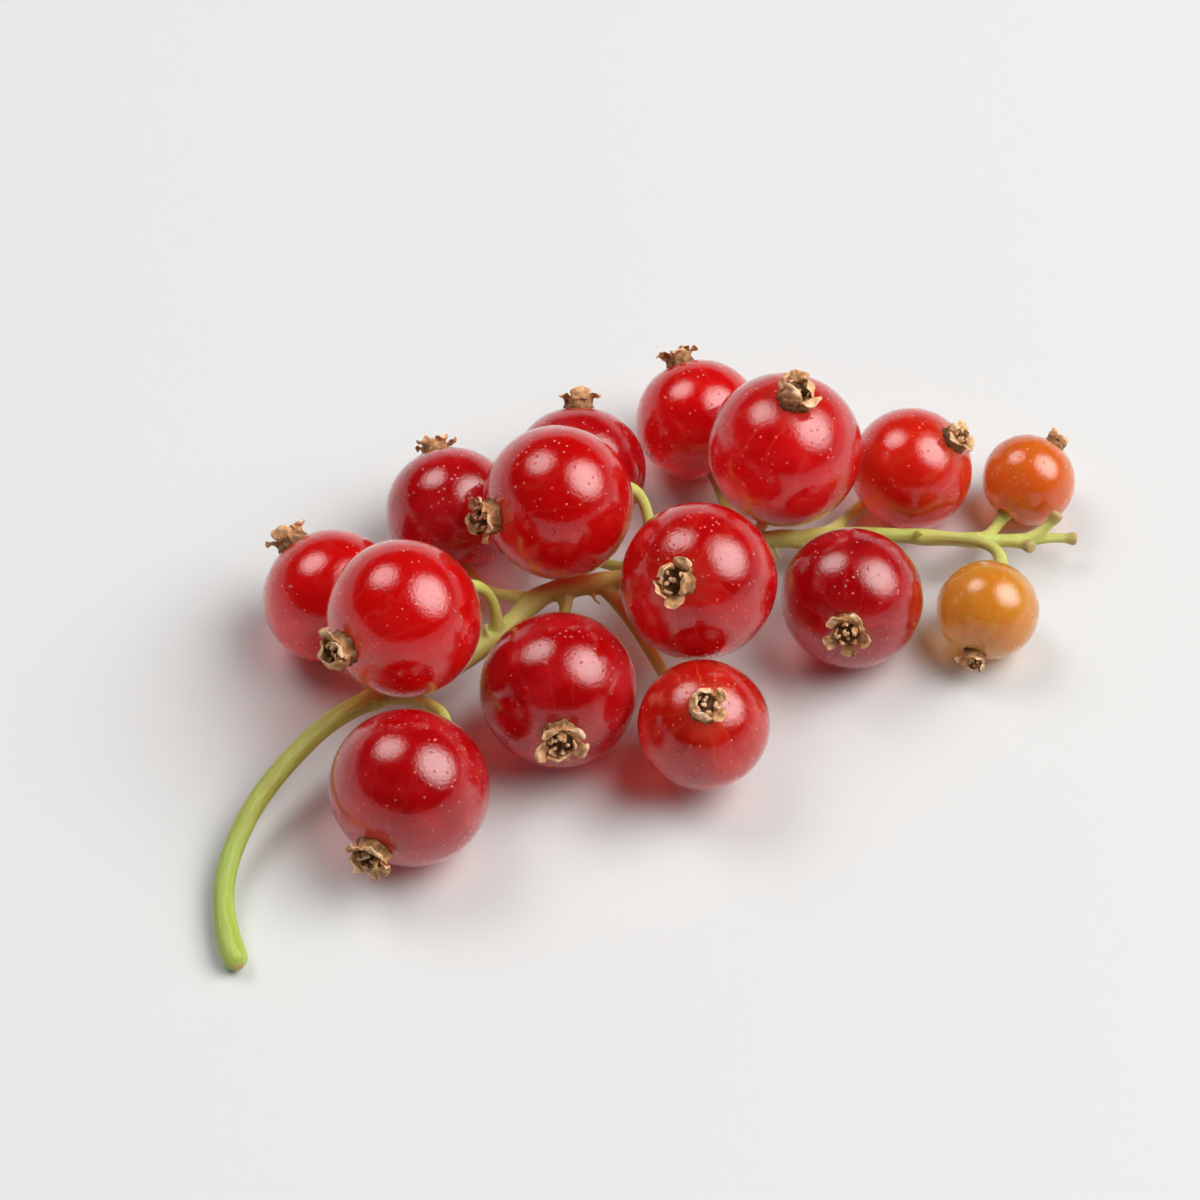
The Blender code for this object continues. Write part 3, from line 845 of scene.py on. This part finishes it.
# %% [markdown]
# Every tube thickens where it is joined: the stalk at each joint, by a bell curve, and a
# pedicel at its foot and its head. A pedicel never dips below the surface.

# %% The tubes
STALK_RUN = (0.0, 0.02, 0.07, 0.45, 1.0)
STALK_RADIUS = (0.74, 0.80, 0.65, 0.64, 0.42)
NODE_SWELLING, NODE_LENGTH = 0.22, 0.8
HEEL_ROUNDING, HEEL_NARROWING = 0.7, 0.85
PEDICEL_POINTS = 30
PEDICEL_RADIUS, PEDICEL_FOOT, PEDICEL_HEAD = 0.36, 0.22, 0.20
PEDICEL_LEAN, PEDICEL_LEAVING = 0.35, 0.35
INTO_DIMPLE, ABOVE_SURFACE = 0.05, 0.05
STUB_RADIUS, STUB_FOOT, STUB_KNOB, STUB_BEND = 0.32, 0.10, 0.13, 0.5
STUB_KNOB_AT, STUB_KNOB_LENGTH = 0.93, 0.14

Stub = namedtuple("Stub", "station reach")
STUBS = (
    Stub(31.6, (1.3, -1.9, 0.5)),
    Stub(33.2, (2.5, -0.1, 1.3)),
    Stub(34.2, (2.3, -1.0, -0.4)),
)


def stalk_tube():
    """radius = thinning (1 + swelling exp(-((x - station) / length)^2)) for each joint, and
    the cut end is rounded off as a quarter of an ellipse."""
    line = smooth_line(STALK_LINE, STALK_STEP)
    radii = np.interp(np.linspace(0, 1, len(line)), STALK_RUN, STALK_RADIUS)
    for berry in BERRIES:
        bell = np.exp(-(((line[:, 0] - berry.station) / NODE_LENGTH) ** 2))
        radii = radii * (1 + NODE_SWELLING * bell)
    from_end = np.clip(np.linalg.norm(line - line[0], axis=1) / HEEL_ROUNDING, 0, 1)
    radii = radii * np.sqrt(1 - (1 - from_end) ** 2 * HEEL_NARROWING)
    return Tube(line, directions(line), radii, STALK)


def pedicel(root, way, berry, middle):
    """A cubic Bezier curve. It leaves the stalk towards the berry with a lean along the
    stalk, and arrives along the berry's own axis."""
    flower = pointing(berry.heading, berry.rise)
    head = middle - flower * (berry.width / 2 * SHORTNESS - DIMPLE_DEPTH - INTO_DIMPLE)
    span = np.linalg.norm(head - root)
    before_head = head - flower * span * berry.reach
    leaving = (before_head - root) / np.linalg.norm(before_head - root) + PEDICEL_LEAN * way
    after_root = root + leaving / np.linalg.norm(leaving) * span * PEDICEL_LEAVING
    t = np.linspace(0, 1, PEDICEL_POINTS)[:, None]
    line = (
        (1 - t) ** 3 * root + 3 * t * (1 - t) ** 2 * after_root
        + 3 * t**2 * (1 - t) * before_head + t**3 * head
    )
    ways = directions(line)
    radii = (PEDICEL_RADIUS + PEDICEL_FOOT * (1 - t) ** 4 + PEDICEL_HEAD * t**6)[:, 0]
    line[:, 2] = np.maximum(line[:, 2], radii + ABOVE_SURFACE)
    return Tube(line, ways, radii, PEDICEL)


def stub(root, way, reach):
    """A bare pedicel. Its radius thins from the foot and swells to a knob by a bell curve."""
    tip = root + reach
    bend = root + way * np.linalg.norm(reach) * STUB_BEND
    line = smooth_line((root, (root + tip + bend) / 3, tip), STUB_STEP)
    t = np.linspace(0, 1, len(line))
    knob = STUB_KNOB * np.exp(-(((t - STUB_KNOB_AT) / STUB_KNOB_LENGTH) ** 2))
    return Tube(line, directions(line), STUB_RADIUS + STUB_FOOT * (1 - t) ** 3 + knob, STUB)


stalk = stalk_tube()
pedicels = [
    pedicel(*at_station(stalk.line, berry.station), berry, middle)
    for berry, middle in zip(BERRIES, MIDDLES)]
stubs = [stub(*at_station(stalk.line, bare.station), np.array(bare.reach)) for bare in STUBS]
tubes = [stalk, *pedicels, *stubs]
print("tubes:", len(tubes), "points on their lines:", sum(len(tube.line) for tube in tubes))

# %% [markdown]
# A tube needs two directions across its line at each point that don't spin as it bends.
# Below each pedicel's foot the stalk also bears a bract, a small pointed scale. It is a flat
# skin of its own, and it is left out where a berry is in its way.

# %% Skins of tubes and bracts
STEM_SIDES = 20
FIRST_CAP, LAST_CAP = 0.12, 0.25
BRACT_RINGS, BRACT_SIDES = 14, 16
BRACT_LENGTH, BRACT_WIDTH, BRACT_THICKNESS = 1.05, 0.60, 0.20
BRACT_BEFORE, BRACT_SUNK = 0.62, 0.80
BRACT_SLOWING, BRACT_BEND = 0.25, 0.45
BRACT_FOOT, BRACT_EDGE, BRACT_THINNING, BRACT_CAP = 0.25, 0.04, 0.35, 0.05
CLEAR_OF_BERRIES = 0.12


def frames(ways):
    """Two unit vectors across each direction, the first from where the line travels least."""
    least = np.linalg.eigh(ways.T @ ways)[1][:, 0]
    aside = least - ways * (ways @ least)[:, None]
    aside = aside / np.linalg.norm(aside, axis=1)[:, None]
    return aside, np.cross(ways, aside)


def tube_skin(tube):
    """ring point = line + radius (cos(edge) aside + sin(edge) over), with a low cap at each end."""
    aside, over = frames(tube.ways)
    edge = round_turns(STEM_SIDES)[None, :, None]
    rings = tube.line[:, None] + tube.radii[:, None, None] * (
        np.cos(edge) * aside[:, None] + np.sin(edge) * over[:, None])
    first = tube.line[0] - tube.ways[0] * tube.radii[0] * FIRST_CAP
    last = tube.line[-1] + tube.ways[-1] * tube.radii[-1] * LAST_CAP
    return closed_skin(rings, first, last)


def bract(foot_tube):
    """A scale whose half width is w sin(pi (0.25 + 0.75 s)) + edge, on a line that goes out
    from the stalk and bends towards the stalk's tip as s^2. Also returns its gap to berries."""
    root, way = at_station(stalk.line, foot_tube.line[0, 0])
    radius = np.interp(root[0], stalk.line[:, 0], stalk.radii)
    leaving = foot_tube.ways[0] - way * (foot_tube.ways[0] @ way)
    leaving = leaving / np.linalg.norm(leaving)
    across = np.cross(way, leaving)
    along = np.linspace(0, 1, BRACT_RINGS)[:, None]
    start = root - way * BRACT_BEFORE + leaving * (radius * BRACT_SUNK)
    line = start + leaving * BRACT_LENGTH * (along - BRACT_SLOWING * along**2)
    line = line + way * BRACT_LENGTH * BRACT_BEND * along**2
    over = np.cross(across, directions(line))
    half = BRACT_WIDTH / 2 * np.sin(math.pi * (BRACT_FOOT + (1 - BRACT_FOOT) * along)) + BRACT_EDGE
    thick = BRACT_THICKNESS / 2 * (1 - BRACT_THINNING * along)
    edge = round_turns(BRACT_SIDES)[None, :, None]
    rings = line[:, None] + np.cos(edge) * half[:, None] * across
    rings = rings + np.sin(edge) * thick[:, None] * over[:, None]
    gap = min(
        np.linalg.norm(rings.reshape(-1, 3) - middle, axis=1).min() - berry.width / 2
        for berry, middle in zip(BERRIES, MIDDLES))
    cap = leaving * BRACT_CAP
    return closed_skin(rings, line[0] - cap, line[-1] + cap), gap


bracts = [bract(foot_tube) for foot_tube in pedicels]
bracts = [skin for skin, gap in bracts if gap > CLEAR_OF_BERRIES]
print("bracts that have room:", len(bracts))

# %% [markdown]
# Swept tubes that merely cross each other look like plumbing, and a real stem has a fillet
# in every joint. So the tubes and bracts are remeshed into one body and smoothed a little.

# %% One body
REMESH_STEP = 0.105
SMOOTHING, SMOOTHING_PASSES = 0.5, 4


def filleted(skin):
    """One body from skins that cross: voxels at a fixed step, then a few passes of smoothing."""
    points, quads, fans = skin
    mesh = bpy.data.meshes.new("tubes")
    mesh.from_pydata((points + PLAN_ZERO) * MM, [], quads.tolist() + fans.tolist())
    rough = in_scene("tubes", mesh)
    voxels = rough.modifiers.new("voxels", "REMESH")
    voxels.mode = "VOXEL"
    voxels.voxel_size = REMESH_STEP * MM
    smooth = rough.modifiers.new("smooth", "SMOOTH")
    smooth.factor, smooth.iterations = SMOOTHING, SMOOTHING_PASSES
    graph = bpy.context.evaluated_depsgraph_get()
    joined = bpy.data.meshes.new_from_object(rough.evaluated_get(graph))
    bpy.data.objects.remove(rough, do_unlink=True)
    bpy.data.meshes.remove(mesh)
    return joined


stem_mesh = filleted(stacked([tube_skin(tube) for tube in tubes] + bracts))
places = np.empty(len(stem_mesh.vertices) * 3, np.float32)
stem_mesh.vertices.foreach_get("co", places)
stem_points = places.reshape(-1, 3).astype(float) / MM - PLAN_ZERO
print("stem points:", len(stem_points), "faces:", len(stem_mesh.polygons))

# %% [markdown]
# Each point of that body looks up the nearest point of the lines, which says how far along
# its tube it is and how far around. `grain` is a place on the tube rolled out, so that a
# noise read there runs along the stem. `run` goes from the cut end to the tip and picks the
# colour. `dry` is high at the cut, on the bare pedicels' ends and where a berry hangs.

# %% What each point of the stem knows
CHUNKS = 24
TUBE_LENGTHS = np.array([60.0, 7.0, 3.0])
GRAIN_SHORTENING = 0.16
PEDICEL_RUN, PEDICEL_RUN_MORE = 0.55, 0.3
CUT_DEPTH, CUT_ZONE = 0.14, 0.02
STUB_DRY_FROM, STUB_DRY_OVER = 0.62, 0.3
HEAD_DRY_FROM, HEAD_DRY_OVER, HEAD_DRYNESS = 0.86, 0.12, 0.55


def nearest(points):
    """For each point: how far along its tube it is, how far around, and the tube's kind."""
    each_tube = [
        (line, radii, np.linspace(0, 1, len(line)), np.full(len(line), kind), *frames(ways))
        for line, ways, radii, kind in tubes]
    centres, radii, along, kinds, aside, over = map(np.concatenate, zip(*each_tube))
    found = []
    for chunk in np.array_split(points, CHUNKS):
        squares = (chunk**2).sum(axis=1)[:, None] - 2 * chunk @ centres.T + (centres**2).sum(axis=1)
        found.append(np.argmin(np.sqrt(np.maximum(squares, 0)) - radii, axis=1))
    found = np.concatenate(found)
    away = points - centres[found]
    around = np.stack([(away * aside[found]).sum(axis=1), (away * over[found]).sum(axis=1)], axis=1)
    around = around / (np.linalg.norm(around, axis=1)[:, None] + 1e-6)
    return along[found], around, kinds[found]


along, around, kinds = nearest(stem_points)
rolled_out = along * TUBE_LENGTHS[kinds] * GRAIN_SHORTENING
grain = np.concatenate([around, rolled_out[:, None]], axis=1)
run = np.where(kinds == STALK, along, PEDICEL_RUN + PEDICEL_RUN_MORE * along)
from_cut = (stem_points - stalk.line[0]) @ stalk.ways[0]
cut = np.clip(1 - from_cut / CUT_DEPTH, 0, 1) * (kinds == STALK) * (along < CUT_ZONE)
dry_stub = np.clip((along - STUB_DRY_FROM) / STUB_DRY_OVER, 0, 1) * (kinds == STUB)
dry_head = np.clip((along - HEAD_DRY_FROM) / HEAD_DRY_OVER, 0, 1) * (kinds == PEDICEL)
dry = np.maximum(np.maximum(cut, dry_stub), HEAD_DRYNESS * dry_head)
print("points of the stem that are mostly dry:", int((dry > 0.5).sum()))

# %% [markdown]
# The stalk is bright green at its cut end, brownish where it reaches the first berries,
# yellow between them and green again towards the tip, with pale ridges and brown blotches.
# The yellow between the berries is partly the stalk's own colour and partly painted light:
# it is made lighter there to lift the shade that the berries cast on it.

# %% The green finish
BLOTCH_SCALE, BLOTCH_MOST, BLOTCHES_SHOW = 350.0, 0.25, (0.52, 0.72)
RIDGE_SCALE, RIDGE_MOST, RIDGES_SHOW = 3.2, 0.55, (0.42, 0.66)
RIDGE_DEPTH, RIDGE_STRENGTH = 0.00012, 0.6
STEM_GLOSS, RIDGE_ROUGHNESS = 0.34, 0.52
SAP_REACH, SAP_DEPTH = (1.0, 0.9, 0.35), 0.0007
TO_FIRST_BROWN, TO_YELLOW_AND_PAINTED_LIGHT, TO_TIP = (0.08, 0.22), (0.25, 0.45), (0.55, 0.95)
END_GREEN, FIRST_BROWN = (0.335, 0.455, 0.055, 1), (0.37, 0.35, 0.045, 1)
MIDDLE_YELLOW_AND_PAINTED_LIGHT, TIP_GREEN = (0.61, 0.58, 0.16, 1), (0.50, 0.57, 0.13, 1)
RIDGE_GREEN, BLOTCH_BROWN = (0.55, 0.61, 0.16, 1), (0.36, 0.27, 0.06, 1)
DRY_BROWN = (0.46, 0.34, 0.14, 1)


def stem_material():
    tree = finish_tree("green_stem")
    run = tree.attribute("run")
    blotch = tree.noise(tree.place(), BLOTCH_SCALE, 2.0)
    ridges = tree.noise(tree.attribute("grain", "Vector"), RIDGE_SCALE, 4.0, 0.65)
    colour = tree.blend(tree.span(run, *TO_FIRST_BROWN), END_GREEN, FIRST_BROWN)
    # painted light: the stalk between the berries is lightened against the shade they cast, over
    # its own yellow
    colour = tree.blend(tree.span(run, *TO_YELLOW_AND_PAINTED_LIGHT), colour, MIDDLE_YELLOW_AND_PAINTED_LIGHT)
    colour = tree.blend(tree.span(run, *TO_TIP), colour, TIP_GREEN)
    ridged = tree.span(ridges, *RIDGES_SHOW, 0.0, RIDGE_MOST)
    colour = tree.blend(ridged, colour, RIDGE_GREEN)
    blotched = tree.span(blotch, *BLOTCHES_SHOW, 0.0, BLOTCH_MOST)
    colour = tree.blend(blotched, colour, BLOTCH_BROWN)
    colour = tree.blend(tree.attribute("dry"), colour, DRY_BROWN)
    tree.wire(
        Base_Color=colour,
        Roughness=tree.span(ridges, NOISE_LOW, NOISE_HIGH, STEM_GLOSS, RIDGE_ROUGHNESS),
        Normal=tree.bump(ridges, RIDGE_DEPTH, RIDGE_STRENGTH),
        Subsurface_Weight=0.5,
        Subsurface_Radius=SAP_REACH,
        Subsurface_Scale=SAP_DEPTH,
    )
    return tree.owner


keep_values(stem_mesh, {"grain": grain, "run": run, "dry": dry})
stem_mesh.shade_smooth()
stem_mesh.materials.clear()
stem_mesh.materials.append(stem_material())
stem = in_scene("fine_stem", stem_mesh)
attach(stem, "root")
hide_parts("strig_stem")
print("stem made:", stem.name)

# %% [markdown]
# ## The stage
#
# The strig lies on a plain pale surface. Two large soft lamps light it, one from the right
# and one from behind on the left, far enough off to light the floor evenly. Each is brighter
# in its middle than at its rim, which gives soft highlights. The sky is dark but for a bright
# band above the horizon, with a fairly sharp upper edge, and each berry mirrors it.

# %% Floor, lamps and sky
FLOOR_HALF = 3.0
FLOOR_COLOUR = (0.70, 0.71, 0.71, 1)
AIM = np.array([-1.2, -0.6, 4.6]) * MM
LAMP_CORE, LAMP_RIM = 0.14, 0.50
LAMP_BRIGHT, LAMP_FAINT = 1.5, 0.05
SKY_LOW, SKY_HIGH = 0.56, 0.02
BRIGHT_UP_TO, DARK_FROM = 0.20, 0.26
SKY_COLOUR = (0.94, 0.96, 1.0, 1)


def direction(azimuth, elevation):
    """From the aim towards a camera or lamp at this azimuth and elevation, in degrees."""
    a, e = math.radians(azimuth), math.radians(elevation)
    return np.array([math.sin(a) * math.cos(e), -math.cos(a) * math.cos(e), math.sin(e)])


def stand(obj, azimuth, elevation, distance):
    """Puts obj this far from the aim, with its -Z towards the aim and its X level."""
    back = direction(azimuth, elevation)
    right = np.cross((0, 0, 1), back)
    right = right / np.linalg.norm(right)
    matrix = np.eye(4)
    matrix[:3, :3] = np.stack([right, np.cross(back, right), back], axis=1)
    matrix[:3, 3] = AIM + back * distance
    obj.matrix_world = Matrix(matrix.tolist())


def lamp(name, size, watts, colour, **place):
    """A round softbox. place says where it stands."""
    light = bpy.data.lights.new(name, "AREA")
    light.shape = "DISK"
    light.size = size
    light.energy = watts
    light.color = colour
    glow = Tree(light, "Emission")
    spot = glow.node("ShaderNodeNewGeometry", output="Parametric")
    middle = {0: spot, 1: (0.5, 0.5, 0.0)}
    from_middle = glow.node("ShaderNodeVectorMath", middle, output="Value", operation="DISTANCE")
    glow.wire(Strength=glow.span(from_middle, LAMP_CORE, LAMP_RIM, LAMP_BRIGHT, LAMP_FAINT))
    stand(in_scene(name, light), **place)


floor_mesh = bpy.data.meshes.new("floor")
corners = [(x * FLOOR_HALF, y * FLOOR_HALF, 0) for x, y in ((-1, -1), (1, -1), (1, 1), (-1, 1))]
floor_mesh.from_pydata(corners, [], [(0, 1, 2, 3)])
floor_tree = finish_tree("pale_floor")
floor_tree.wire(Base_Color=FLOOR_COLOUR, Roughness=0.6)
floor_mesh.materials.append(floor_tree.owner)
floor = in_scene("floor", floor_mesh)
floor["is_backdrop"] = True

lamp("main_lamp", 1.35, 20.0, (1.0, 0.98, 0.96), azimuth=63, elevation=51, distance=1.0)
lamp("second_lamp", 0.95, 7.2, (1.0, 0.99, 0.98), azimuth=-163, elevation=55, distance=1.125)

world = bpy.data.worlds.new("studio")
bpy.context.scene.world = world
sky = Tree(world, "Background")
height = sky.node("ShaderNodeTexCoord", output="Generated")
height = sky.node("ShaderNodeSeparateXYZ", {0: height}, output="Z")
sky.wire(Strength=sky.span(height, BRIGHT_UP_TO, DARK_FROM, SKY_LOW, SKY_HIGH), Color=SKY_COLOUR)
print("lamps:", len(bpy.data.lights))

# %% [markdown]
# The camera looks down on the strig from the side where its flowers and the stalk show best,
# through a long lens.

# %% Camera
CAMERA_AZIMUTH, CAMERA_ELEVATION = -30.0, 50.0
CAMERA_DISTANCE = 0.22
CAMERA_FRAME_WIDTH = 0.076

lens = bpy.data.cameras.new("camera")
camera = in_scene("camera", lens)
lens.sensor_fit = "HORIZONTAL"
lens.angle = 2 * math.atan(CAMERA_FRAME_WIDTH / 2 / CAMERA_DISTANCE)
lens.clip_start, lens.clip_end = 0.01, 20.0
stand(camera, CAMERA_AZIMUTH, CAMERA_ELEVATION, CAMERA_DISTANCE)
bpy.context.scene.camera = camera
bpy.context.scene.view_settings.view_transform = "Standard"
print("camera field of view, degrees:", round(math.degrees(lens.angle), 1))

# %% Write the sizes and finish
low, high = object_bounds()
print("dressed box mm:", [round(side / MM, 1) for side in high - low])
